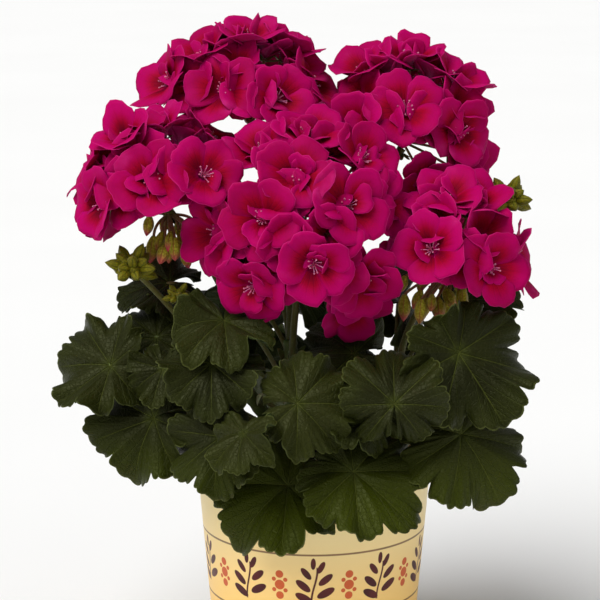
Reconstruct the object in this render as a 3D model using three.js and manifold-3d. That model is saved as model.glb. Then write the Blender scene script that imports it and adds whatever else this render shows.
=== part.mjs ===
// A potted zonal geranium: a round plastic pot of potting soil, six leafy shoots that rise from the soil,
// five open flower heads on long stalks with nodding buds under them, and three younger heads still in
// bud. Millimetres, +Z up. The origin is the middle of the pot's underside, and -Y is the front.
import * as THREE from "three";
import { mergeVertices } from "three/addons/utils/BufferGeometryUtils.js";
import Module from "manifold-3d";

const wasm = await Module();
wasm.setup();

// Driving dimensions.
const POT = {
  height: 118,
  rimRadius: 66, // over the lip
  lipHeight: 9,
  lipDepth: 2.4, // how far the lip stands out from the wall
  taper: 0.086, // loss of radius for each millimetre down
  wall: 1.6,
  floor: 2,
  sides: 30,
  drain: { count: 6, radius: 4.5, ring: 40, sides: 6 },
};
const SOIL = { top: 104, mound: 5, gap: 0.5, rings: 2, sides: 18 };
const HOLE = { depth: 26, sides: 6 }; // the holes the shoots stand in
const CLEAR = 0.35; // left between pieces that seat on each other
const SHOOT = { radius: 4.2, sides: 6, steps: 6 };
const STALK = { radius: 1.9, sides: 5, steps: 5 };
const LEAF_STALK = {
  radius: 1.5,
  sides: 3,
  steps: 3,
  rise: 6, // how far the bend stands above the higher of its two ends
  inset: 2.5, // from the notch of the leaf to the middle of the join
};
const LEAF = {
  thickness: 0.8,
  lobes: 7,
  half: 161, // degrees from the middle lobe to the edge of the notch at the leaf stalk
  // The rest are shares of the leaf's radius.
  notch: 0.13, // depth of the gaps between lobes
  back: 0.42, // how much shorter the lobes beside the leaf stalk are
  funnel: 0.16,
  droop: 0.3,
  pleat: 0.035,
  billow: 0.11,
};
const PETAL = {
  length: 23,
  width: 17.4,
  thickness: 0.7,
  widest: 0.6, // along the petal
  end: 0.97, // along the petal
  endWidth: 0.74, // share of the full width
  hollow: 0.02,
};
const FLOWER = {
  throat: 2,
  stemRadius: 0.85,
  stemBend: 1.5,
  // Least value and spread of what varies from flower to flower. Angles are in radians.
  roll: [-0.25, 0.5],
  size: [0.96, 0.1],
  lift: [0.75, 0.25], // how far each petal rises from flat at its foot
  curl: [0.65, 0.2], // how much of that it loses by its end
};
const KNOB = { head: 3.6, stalk: 2.6, bud: 2.4, apart: 5.6 }; // where stems meet, and the top of a stalk
const NODDING_BUD = {
  radius: 2.9,
  swells: [0.27, 0.27, 0.35, 1, 0.2], // radius along the stem and bud, as a share of the full one
  drop: [18, 13],
};
const GREEN_BUD = { sides: 5, slimness: 0.161, cover: 1.45 };

const COLOURS = {
  pot: { color: 0xf3d48f, roughness: 0.45 },
  soil: { color: 0x3a2a20, roughness: 1 },
  leaf: { color: 0x3a4a26, roughness: 0.6 },
  stalk: { color: 0x5d6b2e, roughness: 0.6 },
  bud: { color: 0x6e7a30, roughness: 0.6 },
  petal: { color: 0xc4096a, roughness: 0.55 },
};

// The shoots' feet in the soil and their tips.
const SHOOTS = {
  left: { foot: [-17, 1], tip: [-40, -10, 168] },
  front_left: { foot: [-9, -15], tip: [-12, -32, 162] },
  front_right: { foot: [9, -15], tip: [20, -34, 160] },
  right: { foot: [17, 1], tip: [46, -12, 166] },
  back_right: { foot: [9, 16], tip: [13, 21, 176] },
  back_left: { foot: [-9, 16], tip: [-13, 21, 176] },
};

// Leaves of the front, each set by hand: the shoot that bears it, where its stalk meets the blade, its
// radius, the way its upper side faces and the way its middle lobe points.
const FRONT_LEAVES = [
  ["left", [-107, -43, 177], 35, [-0.3, -0.75, 0.6], [-1, 0, 0.25]],
  ["left", [-84, -53, 151], 37, [-0.3, -0.85, 0.4], [-1, 0, -0.35]],
  ["left", [-79, -54, 178], 22, [-0.2, -0.85, 0.5], [-0.2, -0.3, -0.9]],
  ["left", [-84, -16, 186], 27, [-0.2, -0.75, 0.6], [-0.9, -0.2, 0.1]],
  ["left", [-78, 2, 212], 30, [-0.1, -0.55, 0.8], [-0.9, -0.1, 0.1]],
  ["front_left", [-53, -68, 184], 31, [-0.05, -0.75, 0.65], [0, -0.6, -0.75]],
  ["front_left", [-47, -56, 204], 33, [0, -0.5, 0.87], [0.1, -0.7, -0.5]],
  ["front_left", [-36, -98, 155], 24, [-0.5, -0.5, 0.7], [-0.3, -0.8, -0.5]],
  ["front_left", [-48, -79, 148], 33, [-0.25, -0.85, 0.45], [-0.8, -0.2, -0.5]],
  ["front_right", [-9, -88, 168], 33, [0.1, -0.85, 0.5], [1, -0.1, 0.1]],
  ["front_left", [-11, -74, 122], 43, [-0.15, -0.75, 0.65], [-0.75, -0.3, -0.6]],
  ["front_right", [20, -78, 129], 42, [0.15, -0.75, 0.65], [0.75, -0.3, -0.6]],
  ["front_right", [40, -93, 169], 33, [0, -0.9, 0.45], [0, 0.2, 1]],
  ["front_right", [24, -71, 166], 30, [0.1, -0.85, 0.5], [0.3, -0.5, -0.8]],
  ["front_right", [21, -41, 183], 31, [0.05, -0.75, 0.65], [-0.9, -0.2, 0.1]],
  ["right", [74, -65, 189], 44, [0.3, -0.85, 0.4], [0.5, -0.2, -0.85]],
  ["right", [76, -66, 146], 42, [0.35, -0.85, 0.4], [0.6, -0.2, -0.8]],
  ["right", [82, 14, 200], 33, [0.1, -0.5, 0.85], [0.95, 0.1, 0]],
];

// Leaves round the sides and back follow a rule: at each step round the pot a low leaf that hangs and a
// high one that stands further in. Each leaf is rolled a little to one side, so that its edge lies over
// its neighbour.
const ROUND_LEAVES = {
  low: { from: 6, step: 28, count: 7, reach: 76, height: 148, radius: 42, droop: 58, roll: 22 },
  high: { from: 26, step: 30, count: 5, reach: 50, height: 200, radius: 38, droop: 40, roll: 28 },
};

// Open flower heads. middle is where the flowers' own stems meet, and each flower is given by its place
// from there. toward turns all the flowers a little that way. nodding gives the buds that hang under some
// heads: their count, how far the bunch leans, and the least and the added reach of their stems.
const HEADS = {
  left: {
    middle: [-77, -15, 258],
    shoot: "left",
    flowers: [
      [-30, -20, 4], [-6, -31, 16], [19, -34, 20], [-20, -12, 34], [-6, 0, 38], [20, 10, 32],
      [-35, 6, 15], [-16, 30, 20], [16, 32, 8], [-30, 26, -4],
    ],
    toward: [0, -0.25, 0.1],
    nodding: { count: 8, lean: [3, -9], spread: [5, 9] },
  },
  top_left: {
    middle: [-35, 30, 297],
    shoot: "back_left",
    flowers: [
      [14, -30, 14], [-12, -28, 18], [-40, -6, 19], [0, -4, 43], [-23, -2, 34], [30, -6, 18],
      [19, 6, 35], [-30, 20, 18], [-6, 28, 30], [24, 30, 10],
    ],
    toward: [0, -0.25, 0.1],
  },
  top_right: {
    middle: [48, 30, 285],
    shoot: "back_right",
    flowers: [
      [-24, -29, 10], [0, -32, 20], [26, -26, 8], [-19, -3, 37], [4, 0, 44], [27, -2, 32],
      [30, -14, -14], [10, -28, -16], [-21, 28, 15], [-1, 30, 29], [28, 26, 14],
    ],
    toward: [0, -0.25, 0.1],
  },
  front: {
    middle: [-5, -32, 245],
    shoot: "front_left",
    flowers: [
      [4, -44, -6], [-25, -30, -20], [27, -28, -16], [-42, -15, 4], [-20, -34, 14], [-4, -26, 33],
      [20, -32, 20], [24, -14, -33], [35, -5, 15], [-22, 2, 41], [2, 4, 50], [27, -2, 38],
    ],
    toward: [0, -0.7, 0],
  },
  right: {
    middle: [73, -20, 228],
    shoot: "right",
    flowers: [
      [-12, -31, 12], [16, -26, 2], [-4, -10, 34], [9, -6, 31], [29, 4, 0], [-1, 27, 2], [-24, 19, 3],
    ],
    toward: [0, -0.25, 0.1],
    nodding: { count: 8, lean: [-9, -9], spread: [6, 13] },
  },
};

// Heads still in bud: where the buds meet, the shoot that bears them, the share of its length where the
// stalk leaves, and the count and length of the buds.
const BUD_HEADS = {
  left: { middle: [-95, -40, 228], shoot: "left", share: 0.9, buds: 9, length: 15 },
  small: { middle: [-71, -40, 213], shoot: "left", share: 0.96, buds: 6, length: 9 },
  right: { middle: [104, 3, 257], shoot: "right", share: 0.9, buds: 9, length: 15 },
};

const GOLDEN = Math.PI * (3 - Math.sqrt(5));
const radians = THREE.MathUtils.degToRad;
const vector = (list) => new THREE.Vector3(...list);

// A seeded draw, so that what varies comes out the same each time.
function seeded(seed) {
  let state = seed;
  return () => {
    state = (state * 16807) % 2147483647;
    return state / 2147483647;
  };
}

// Solids.

function solidOf(geometry) {
  const plain = geometry.index ? geometry.clone() : mergeVertices(geometry);
  plain.deleteAttribute("normal");
  plain.deleteAttribute("uv");
  const merged = mergeVertices(plain, 1e-4);
  return new wasm.Manifold(
    new wasm.Mesh({
      numProp: 3,
      vertProperties: new Float32Array(merged.attributes.position.array),
      triVerts: new Uint32Array(merged.index.array),
    }),
  );
}

const joined = (solids) => solids.reduce((all, solid) => all.add(solid));

// The largest body of a solid, without scraps that a cut left loose and with sealed hollows filled.
function wholeBody(solid) {
  const bodies = solid.decompose().filter((body) => body.volume() > 0);
  return bodies.reduce((most, body) => (body.volume() > most.volume() ? body : most));
}

function geometryOf(solid) {
  const mesh = solid.getMesh();
  return new THREE.BufferGeometry()
    .setAttribute("position", new THREE.BufferAttribute(new Float32Array(mesh.vertProperties), 3))
    .setIndex(new THREE.BufferAttribute(new Uint32Array(mesh.triVerts), 1));
}

// A round stem along a curve, with few sides. swells gives its radius at each step, as a share of the full
// one.
function stem(curve, { radius, sides, steps }, swells) {
  const section = new THREE.Shape(
    Array.from({ length: sides }, (_, i) => {
      const turn = (i / sides) * 2 * Math.PI;
      return new THREE.Vector2(radius * Math.cos(turn), radius * Math.sin(turn));
    }),
  );
  const geometry = new THREE.ExtrudeGeometry(section, { extrudePath: curve, steps, bevelEnabled: false });
  if (!swells) return solidOf(geometry);
  const middles = curve.getSpacedPoints(steps);
  const places = geometry.getAttribute("position");
  for (let i = 0; i < places.count; i++) {
    const place = new THREE.Vector3().fromBufferAttribute(places, i);
    const off = middles.map((middle) => Math.abs(middle.distanceTo(place) - radius));
    const step = off.indexOf(Math.min(...off));
    place.sub(middles[step]).multiplyScalar(swells[step]).add(middles[step]);
    places.setXYZ(i, ...place.toArray());
  }
  return solidOf(geometry);
}

// A thin blade from the points and faces of its upper side. Its underside has the same faces, set back
// along the points' normals, and a wall follows its rim.
function blade(points, faces, rim, thickness) {
  const upper = new THREE.BufferGeometry()
    .setFromPoints(points)
    .setIndex(faces.flat());
  upper.computeVertexNormals();
  const normals = upper.getAttribute("normal");
  const lower = points.map((point, i) =>
    point.clone().addScaledVector(new THREE.Vector3().fromBufferAttribute(normals, i), -thickness),
  );
  const n = points.length;
  const index = faces.flatMap(([a, b, c]) => [a, b, c, n + a, n + c, n + b]);
  rim.forEach((a, i) => {
    const b = rim[(i + 1) % rim.length];
    index.push(b, a, n + a, b, n + a, n + b);
  });
  return new THREE.BufferGeometry().setFromPoints([...points, ...lower]).setIndex(index);
}

// Moves a shape made round the origin to a place, with its x and z axes along the two given directions.
function placed(geometry, at, along, up) {
  const z = up.clone().normalize();
  const x = along.clone().addScaledVector(z, -along.dot(z)).normalize();
  const y = new THREE.Vector3().crossVectors(z, x);
  const frame = new THREE.Matrix4().makeBasis(x, y, z).setPosition(at);
  return geometry.applyMatrix4(frame);
}

// A leaf. Its middle lobe points along x and its upper side faces z.

function leafRim(turn) {
  const lobeWidth = (2 * LEAF.half) / LEAF.lobes;
  const across = Math.abs(Math.cos((Math.PI * turn) / lobeWidth));
  const back = Math.abs(turn) / LEAF.half;
  return (1 - LEAF.notch + LEAF.notch * across ** 0.6) * (1 - LEAF.back * back ** 2);
}

function leafHeight(share, turn, wave) {
  const lobeWidth = (2 * LEAF.half) / LEAF.lobes;
  const funnel = LEAF.funnel * share - LEAF.droop * share ** 2;
  const pleat = LEAF.pleat * share * Math.cos((2 * Math.PI * turn) / lobeWidth);
  const billow = LEAF.billow * share ** 2 * Math.sin(3 * radians(turn) + wave);
  return funnel + pleat + billow;
}

function leafPoint(radius, share, turn, wave) {
  const reach = radius * share * leafRim(turn);
  return new THREE.Vector3(
    reach * Math.cos(radians(turn)),
    reach * Math.sin(radians(turn)),
    radius * leafHeight(share, turn, wave),
  );
}

function leafBlade(radius, wave) {
  const ringTurns = [-1, -0.5, 0, 0.5, 1];
  const rimTurns = Array.from({ length: 3 * LEAF.lobes + 1 }, (_, i) => (2 * i) / (3 * LEAF.lobes) - 1);
  const ring = ringTurns.map((turn, i) => 1 + i);
  const rim = rimTurns.map((turn, i) => 1 + ring.length + i);
  const points = [
    new THREE.Vector3(0, 0, 0),
    ...ringTurns.map((turn) => leafPoint(radius, 0.5, turn * LEAF.half, wave)),
    ...rimTurns.map((turn) => leafPoint(radius, 1, turn * LEAF.half, wave)),
  ];
  const faces = [];
  let inner = 0;
  rim.slice(1).forEach((corner, i) => {
    faces.push([ring[inner], corner - 1, corner]);
    const halfway = (ringTurns[inner] + ringTurns[inner + 1]) / 2;
    if (inner + 1 === ring.length || rimTurns[i + 1] < halfway) return;
    faces.push([ring[inner], corner, ring[inner + 1]], [0, ring[inner], ring[inner + 1]]);
    inner++;
  });
  const edge = [0, ring[0], ...rim, ring[ring.length - 1]];
  return blade(points, faces, edge, LEAF.thickness);
}

// A flower: five petals joined at the foot. It faces z, and its two upper petals stand to either side of
// y.

const PETAL_TURNS = [-18, 54, 126, 198, 270];

function petalPoint(turn, along, side, openness) {
  const lift = openness.lift - openness.curl * along;
  const reach = (PETAL.length * (Math.sin(openness.lift) - Math.sin(lift))) / openness.curl;
  const height = (PETAL.length * (Math.cos(lift) - Math.cos(openness.lift))) / openness.curl;
  return new THREE.Vector3(
    reach * Math.cos(turn) - side * Math.sin(turn),
    reach * Math.sin(turn) + side * Math.cos(turn),
    height - PETAL.hollow * side * side,
  );
}

// A flower and its own stem, in one mesh. The underside of the throat runs on down into the stem.
function flower(centre, throat, facing, side, size, openness) {
  const turns = PETAL_TURNS.map(radians);
  const half = PETAL.width / 2;
  const upper = [new THREE.Vector3(0, 0, 0)];
  turns.forEach((turn) => {
    const between = turn - Math.PI / turns.length;
    const lip = new THREE.Vector3(Math.cos(between), Math.sin(between), 0.5);
    upper.push(lip.multiplyScalar(FLOWER.throat));
  });
  const faces = [];
  const rim = [];
  turns.forEach((turn, petal) => {
    const [a, b] = [1 + petal, 1 + ((petal + 1) % turns.length)];
    const [p, q, r, t] = [0, 1, 2, 3].map((i) => upper.length + i);
    upper.push(
      petalPoint(turn, PETAL.widest, -half, openness),
      petalPoint(turn, PETAL.end, -PETAL.endWidth * half, openness),
      petalPoint(turn, PETAL.end, PETAL.endWidth * half, openness),
      petalPoint(turn, PETAL.widest, half, openness),
    );
    faces.push([a, p, t], [a, t, b], [p, q, r], [p, r, t]);
    rim.push(a, p, q, r, t);
  });
  const lips = turns.map((turn, i) => 1 + i);
  const cup = lips.map((lip, i) => [0, lip, lips[(i + 1) % lips.length]]);
  const petals = new THREE.BufferGeometry().setFromPoints(upper).setIndex([...faces, ...cup].flat());
  petals.computeVertexNormals();
  const normals = petals.getAttribute("normal");
  const lower = upper.map((point, i) =>
    point.clone().addScaledVector(new THREE.Vector3().fromBufferAttribute(normals, i), -PETAL.thickness),
  );
  const n = upper.length;
  const index = [...faces, ...cup].flat();
  faces.forEach(([a, b, c]) => index.push(n + a, n + c, n + b));
  rim.forEach((a, i) => {
    const b = rim[(i + 1) % rim.length];
    index.push(b, a, n + a, b, n + a, n + b);
  });
  const body = new THREE.BufferGeometry().setFromPoints([...upper, ...lower]);
  body.scale(size, size, 1);
  placed(body, throat, side, facing);
  const points = Array.from({ length: 2 * n }, (_, i) =>
    new THREE.Vector3().fromBufferAttribute(body.getAttribute("position"), i),
  );
  // Two rings carry the underside of the throat down to where all the stems meet.
  const lipPoints = lips.map((lip) => points[n + lip]);
  const hollow = new THREE.Vector3();
  lipPoints.forEach((point) => hollow.addScaledVector(point, 1 / lips.length));
  const bend = centre.clone().lerp(throat, 0.5).add(new THREE.Vector3(0, 0, FLOWER.stemBend));
  [bend, centre].forEach((middle, ring) => {
    lipPoints.forEach((point) => {
      const off = point.clone().sub(hollow).setLength(FLOWER.stemRadius);
      points.push(middle.clone().add(off));
    });
    const here = 2 * n + ring * lips.length;
    lips.forEach((lip, i) => {
      const j = (i + 1) % lips.length;
      const above = ring ? [here - lips.length + i, here - lips.length + j] : [n + lips[i], n + lips[j]];
      index.push(above[0], here + j, above[1], above[0], here + i, here + j);
    });
  });
  const foot = 2 * n + lips.length;
  for (let i = 1; i < lips.length - 1; i++) index.push(foot, foot + i + 1, foot + i);
  return solidOf(new THREE.BufferGeometry().setFromPoints(points).setIndex(index));
}

// The pot: one thin moulded shell with a lip, and drainage holes through its floor.

function potRadius(z) {
  return POT.rimRadius - POT.lipDepth - POT.taper * (POT.height - POT.lipHeight - z);
}

function pot() {
  const lipFoot = POT.height - POT.lipHeight;
  const profile = [
    [0, 0],
    [potRadius(0), 0],
    [potRadius(lipFoot), lipFoot],
    [POT.rimRadius, lipFoot],
    [POT.rimRadius, POT.height],
    [POT.rimRadius - POT.lipDepth - POT.wall, POT.height],
    [potRadius(lipFoot) - POT.wall, lipFoot - 2],
    [potRadius(POT.floor) - POT.wall, POT.floor],
    [0, POT.floor],
  ].map(([x, y]) => new THREE.Vector2(x, y));
  const shell = solidOf(new THREE.LatheGeometry(profile, POT.sides).rotateX(Math.PI / 2));
  const holes = Array.from({ length: POT.drain.count }, (_, i) => {
    const turn = ((i + 0.5) / POT.drain.count) * 2 * Math.PI;
    const { radius, ring, sides } = POT.drain;
    return upright(radius, -1, POT.floor + 1, sides, ring * Math.cos(turn), ring * Math.sin(turn));
  });
  return shell.subtract(joined(holes));
}

// An upright round cutter or pin.
function upright(radius, low, high, sides, x, y) {
  const cylinder = new THREE.CylinderGeometry(radius, radius, high - low, sides).rotateX(Math.PI / 2);
  return solidOf(cylinder.translate(x, y, (low + high) / 2));
}

// The soil: it fills the pot, heaps up a little in the middle, and has a plain hole for each shoot.

function soilTop(x, y) {
  const share = Math.hypot(x, y) / POT.rimRadius;
  const crumbs = 0.9 * Math.sin(0.31 * x + 1) * Math.cos(0.27 * y) + 0.6 * Math.sin(0.5 * y + 0.2 * x);
  return SOIL.top + SOIL.mound * (1 - share ** 2) + crumbs;
}

function soil() {
  const inset = POT.wall + SOIL.gap;
  const bottom = POT.floor + SOIL.gap;
  const edge = potRadius(SOIL.top) - inset;
  const profile = [[0, bottom], [potRadius(bottom) - inset, bottom]];
  for (let ring = SOIL.rings; ring >= 0; ring--) profile.push([(edge * ring) / SOIL.rings, SOIL.top]);
  const geometry = new THREE.LatheGeometry(
    profile.map(([x, y]) => new THREE.Vector2(x, y)),
    SOIL.sides,
  ).rotateX(Math.PI / 2);
  const places = geometry.getAttribute("position");
  for (let i = 0; i < places.count; i++)
    if (places.getZ(i) > SOIL.top / 2) places.setZ(i, soilTop(places.getX(i), places.getY(i)));
  const holeRadius = (SHOOT.radius + CLEAR) / Math.cos(Math.PI / HOLE.sides);
  const holes = Object.values(SHOOTS).map(({ foot: [x, y] }) =>
    upright(holeRadius, SOIL.top - HOLE.depth, POT.height, HOLE.sides, x, y),
  );
  return solidOf(geometry).subtract(joined(holes));
}

// A leafy shoot: a stem that rises from its hole in the soil and bends out to its tip, with leaves on
// their stalks.

function shootCurve(name) {
  const { foot: [x, y], tip } = SHOOTS[name];
  const low = new THREE.Vector3(x, y, SOIL.top - HOLE.depth + CLEAR);
  const rise = new THREE.Vector3(x, y, POT.height - 4);
  const curve = new THREE.CurvePath();
  curve.add(new THREE.LineCurve3(low, rise));
  const above = rise.clone().add(new THREE.Vector3(0, 0, 22));
  const under = vector(tip).sub(new THREE.Vector3(0, 0, 18));
  curve.add(new THREE.CubicBezierCurve3(rise, above, under, vector(tip)));
  return curve;
}

// Where a leaf stalk leaves its shoot: lower leaves leave it lower.
function bearing(shoot, height) {
  const low = POT.height;
  const high = SHOOTS[shoot].tip[2] + 36;
  const share = THREE.MathUtils.clamp((height - low) / (high - low), 0.06, 0.86);
  return shootCurve(shoot).getPointAt(0.3 + 0.7 * share);
}

function leafStalk({ shoot, hub, normal, along }) {
  const start = bearing(shoot, hub.z);
  const over = start.clone().lerp(hub, 0.6);
  over.z = Math.max(start.z, hub.z) + LEAF_STALK.rise;
  const end = hub.clone().addScaledVector(along, LEAF_STALK.inset);
  end.addScaledVector(normal, -LEAF.thickness / 2);
  return stem(new THREE.QuadraticBezierCurve3(start, over, end), LEAF_STALK);
}

function roundLeaves() {
  return Object.values(ROUND_LEAVES).flatMap((ring) =>
    Array.from({ length: ring.count }, (_, i) => {
      const turn = radians(ring.from + ring.step * i);
      const sway = 3 * Math.sin(5 * turn);
      const out = new THREE.Vector3(Math.cos(turn), Math.sin(turn), 0);
      const hub = out.clone().multiplyScalar(ring.reach + sway).setZ(ring.height - sway);
      const droop = radians(ring.droop + 2 * sway);
      const along = out.clone().multiplyScalar(Math.cos(droop)).setZ(-Math.sin(droop));
      const normal = out.clone().multiplyScalar(Math.sin(droop)).setZ(Math.cos(droop));
      normal.applyAxisAngle(along, radians(ring.roll));
      return { shoot: nearestShoot(turn), hub, radius: ring.radius + sway / 2, normal, along };
    }),
  );
}

// The shoot whose foot lies nearest to a direction from the middle of the pot.
function nearestShoot(turn) {
  const facing = ([x, y]) => x * Math.cos(turn) + y * Math.sin(turn);
  return Object.keys(SHOOTS).reduce((best, name) =>
    facing(SHOOTS[name].foot) > facing(SHOOTS[best].foot) ? name : best,
  );
}

const LEAVES = [
  ...FRONT_LEAVES.map(([shoot, hub, radius, normal, along]) => ({
    shoot,
    hub: vector(hub),
    radius,
    normal: vector(normal).normalize(),
    along: vector(along).normalize(),
  })),
  ...roundLeaves(),
];

function leafyShoot(name) {
  const stemSolid = stem(shootCurve(name), SHOOT);
  const grown = LEAVES.filter((leaf) => leaf.shoot === name).flatMap((leaf, i) => {
    const wave = 1.7 * i + leaf.radius;
    const leafSolid = solidOf(placed(leafBlade(leaf.radius, wave), leaf.hub, leaf.along, leaf.normal));
    return [leafStalk(leaf), leafSolid];
  });
  return [stemSolid, ...grown];
}

// A small knob where stems meet.
function knob(radius, at) {
  return solidOf(new THREE.IcosahedronGeometry(radius, 0).translate(at.x, at.y, at.z));
}

// An open head: flowers on their own thin stems, which meet in a small knob.

function flowerHead(name) {
  const { middle, flowers, toward } = HEADS[name];
  const centre = vector(middle);
  const draw = seeded(name.length * 101 + 7);
  const vary = ([least, spread]) => least + spread * draw();
  const solids = [knob(KNOB.head, centre)];
  flowers.forEach((offset) => {
    const reach = vector(offset);
    const throat = centre.clone().add(reach);
    const facing = reach.clone().normalize().add(vector(toward)).normalize();
    const side = new THREE.Vector3().crossVectors(new THREE.Vector3(0, 0.01, 1), facing);
    side.applyAxisAngle(facing, vary(FLOWER.roll));
    const size = vary(FLOWER.size);
    const openness = { lift: vary(FLOWER.lift), curl: vary(FLOWER.curl) };
    solids.push(flower(centre, throat, facing, side, size, openness));
  });
  return solids;
}

// Buds: pointed green drops on thin stems.

function noddingBuds(centre, { count, lean, spread }) {
  const { radius, swells, drop } = NODDING_BUD;
  const form = { radius, sides: 4, steps: swells.length - 1 };
  return Array.from({ length: count }, (_, i) => {
    const turn = i * GOLDEN;
    const out = new THREE.Vector3(Math.cos(turn), Math.sin(turn), 0);
    const reach = spread[0] + spread[1] * Math.sqrt((i + 0.5) / count);
    const fall = drop[0] + drop[1] * ((i * 0.618) % 1);
    const [x, y] = lean;
    const end = centre.clone().addScaledVector(out, reach).add(new THREE.Vector3(x, y, -fall));
    const bend = centre.clone().addScaledVector(out, 1.2 * reach).add(new THREE.Vector3(x, y, -2));
    return stem(new THREE.QuadraticBezierCurve3(centre, bend, end), form, swells);
  });
}

// A stalk starts on top of its shoot's tip, or beside the shoot at a share of its length, and rises to its
// head.
function stalkCurve(shoot, head, share) {
  const rise = new THREE.Vector3(0, 0, 1);
  if (share === 1) {
    const start = vector(SHOOTS[shoot].tip).addScaledVector(rise, CLEAR);
    const over = start.clone().addScaledVector(rise, 0.5 * (head.z - start.z));
    return new THREE.QuadraticBezierCurve3(start, over, head);
  }
  const axis = shootCurve(shoot).getPointAt(share);
  const out = head.clone().sub(axis).setZ(0).normalize();
  const start = axis.addScaledVector(out, SHOOT.radius);
  const low = start.clone().addScaledVector(out, 4.5);
  const high = start.clone().lerp(head, 0.5).addScaledVector(rise, 6);
  return new THREE.CubicBezierCurve3(start, low, high, head);
}

function flowerStalk(name) {
  const { middle, shoot, nodding } = HEADS[name];
  const top = vector(middle).add(new THREE.Vector3(0, 0, -KNOB.apart));
  const buds = nodding ? noddingBuds(top, nodding) : [];
  return [stem(stalkCurve(shoot, top, 1), STALK), knob(KNOB.stalk, top), ...buds];
}

function budHead(name) {
  const { middle, shoot, share, buds, length } = BUD_HEADS[name];
  const centre = vector(middle);
  const profile = [[0, 0], [1, 0.65], [0.75, 0.85], [0, 1]].map(
    ([x, y]) => new THREE.Vector2(x * GREEN_BUD.slimness * length, y * length),
  );
  const solids = [
    stem(stalkCurve(shoot, centre, share), { ...STALK, radius: 0.8 * STALK.radius }),
    knob(KNOB.bud, centre),
  ];
  for (let i = 0; i < buds; i++) {
    const rise = 1 - (GREEN_BUD.cover * (i + 0.5)) / buds;
    const level = Math.sqrt(1 - rise * rise);
    const facing = new THREE.Vector3(level * Math.cos(i * GOLDEN), level * Math.sin(i * GOLDEN), rise);
    const across = new THREE.Vector3(facing.z, facing.x, facing.y);
    const bud = new THREE.LatheGeometry(profile, GREEN_BUD.sides).rotateX(Math.PI / 2);
    solids.push(solidOf(placed(bud, centre, across, facing)));
  }
  return solids;
}

// The whole plant.

const parts = [
  ...Object.keys(HEADS).map((name) => [`flower_head_${name}`, "petal", flowerHead(name)]),
  ...Object.keys(HEADS).map((name) => [`flower_stalk_${name}`, "stalk", flowerStalk(name)]),
  ...Object.keys(BUD_HEADS).map((name) => [`bud_head_${name}`, "bud", budHead(name)]),
  ...Object.keys(SHOOTS).map((name) => [`leafy_shoot_${name}`, "leaf", leafyShoot(name)]),
  ["pot", "pot", [pot()]],
  ["soil", "soil", [soil()]],
];

const plant = new THREE.Group();
parts.forEach(([name, look, solids]) => {
  const geometry = geometryOf(wholeBody(joined(solids)));
  const mesh = new THREE.Mesh(geometry, new THREE.MeshStandardMaterial({ ...COLOURS[look], metalness: 0 }));
  mesh.name = name;
  plant.add(mesh);
});

export default plant;
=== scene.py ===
from itertools import combinations
from math import cos, exp, hypot, pi, radians, sin, sqrt, tau
from random import Random

import bpy
import numpy as np
from mathutils import Matrix, Vector


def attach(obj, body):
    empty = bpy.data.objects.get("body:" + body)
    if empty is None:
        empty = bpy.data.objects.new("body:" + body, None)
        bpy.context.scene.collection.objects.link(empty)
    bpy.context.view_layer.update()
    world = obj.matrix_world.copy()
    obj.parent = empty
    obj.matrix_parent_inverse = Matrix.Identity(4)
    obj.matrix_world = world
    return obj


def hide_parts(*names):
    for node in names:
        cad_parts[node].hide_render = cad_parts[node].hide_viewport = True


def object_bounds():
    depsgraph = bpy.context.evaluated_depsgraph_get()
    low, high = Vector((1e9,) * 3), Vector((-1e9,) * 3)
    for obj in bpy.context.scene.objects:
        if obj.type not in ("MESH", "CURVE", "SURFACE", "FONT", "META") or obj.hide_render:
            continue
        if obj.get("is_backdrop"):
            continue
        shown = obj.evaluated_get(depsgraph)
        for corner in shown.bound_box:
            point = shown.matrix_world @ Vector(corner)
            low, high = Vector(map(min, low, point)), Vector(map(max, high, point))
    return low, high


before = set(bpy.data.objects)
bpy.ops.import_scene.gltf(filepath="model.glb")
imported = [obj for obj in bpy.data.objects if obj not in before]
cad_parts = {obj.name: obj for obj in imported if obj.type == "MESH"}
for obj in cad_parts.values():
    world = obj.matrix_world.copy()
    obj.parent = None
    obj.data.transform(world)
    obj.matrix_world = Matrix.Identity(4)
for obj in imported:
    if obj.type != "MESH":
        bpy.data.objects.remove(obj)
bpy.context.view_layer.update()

MM = 0.001

# The pot. A thin shell of cream plastic, moulded in one shot with its lip and its drainage holes, and
# printed all round with a warm fade and a frieze of leaf sprigs and berries before it is filled.

RIM_RADIUS = 66 * MM
POT_HEIGHT = 118 * MM
LIP_HEIGHT = 9 * MM
LIP_DEPTH = 2.4 * MM
POT_TAPER = 0.086
POT_WALL = 1.6 * MM
POT_FLOOR = 2 * MM
POT_EDGE = 0.8 * MM
POT_SIDES = 128
DRAINS = 6
DRAIN_RING = 40 * MM
DRAIN_RADIUS = 4.5 * MM
FRIEZE_REPEATS = 10
FRIEZE_RADIUS = 60  # in millimetres, as the rest of the print
FRIEZE_HEIGHT = 61
FRIEZE_LINE = 17.5  # from its middle to each line
SPRIG_LEAVES = [  # rise, reach, tilt and length
    (-7, -5.6, 0.5, 5.2), (-4, 6.2, -0.5, 5.2), (0, -6, 0.7, 4.8), (3.5, 6, -0.7, 4.6),
    (7, -4.4, 0.9, 4), (10.5, 3.6, -1.1, 3.6), (12.6, -0.6, 1.6, 3.2),
]
BERRIES = [(-6, 0, 2.2), (0, 0, 2.8), (6, 0, 2.2), (-3, 3.2, 1.2), (3, 3.2, 1.2)]  # rise, reach, radius


def rgb(red, green, blue):
    """A colour as it looks on screen, from 0 to 255, made ready for a shader."""
    shares = [value / 255 for value in (red, green, blue)]
    return (*(s / 12.92 if s < 0.04045 else ((s + 0.055) / 1.055) ** 2.4 for s in shares), 1)


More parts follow.
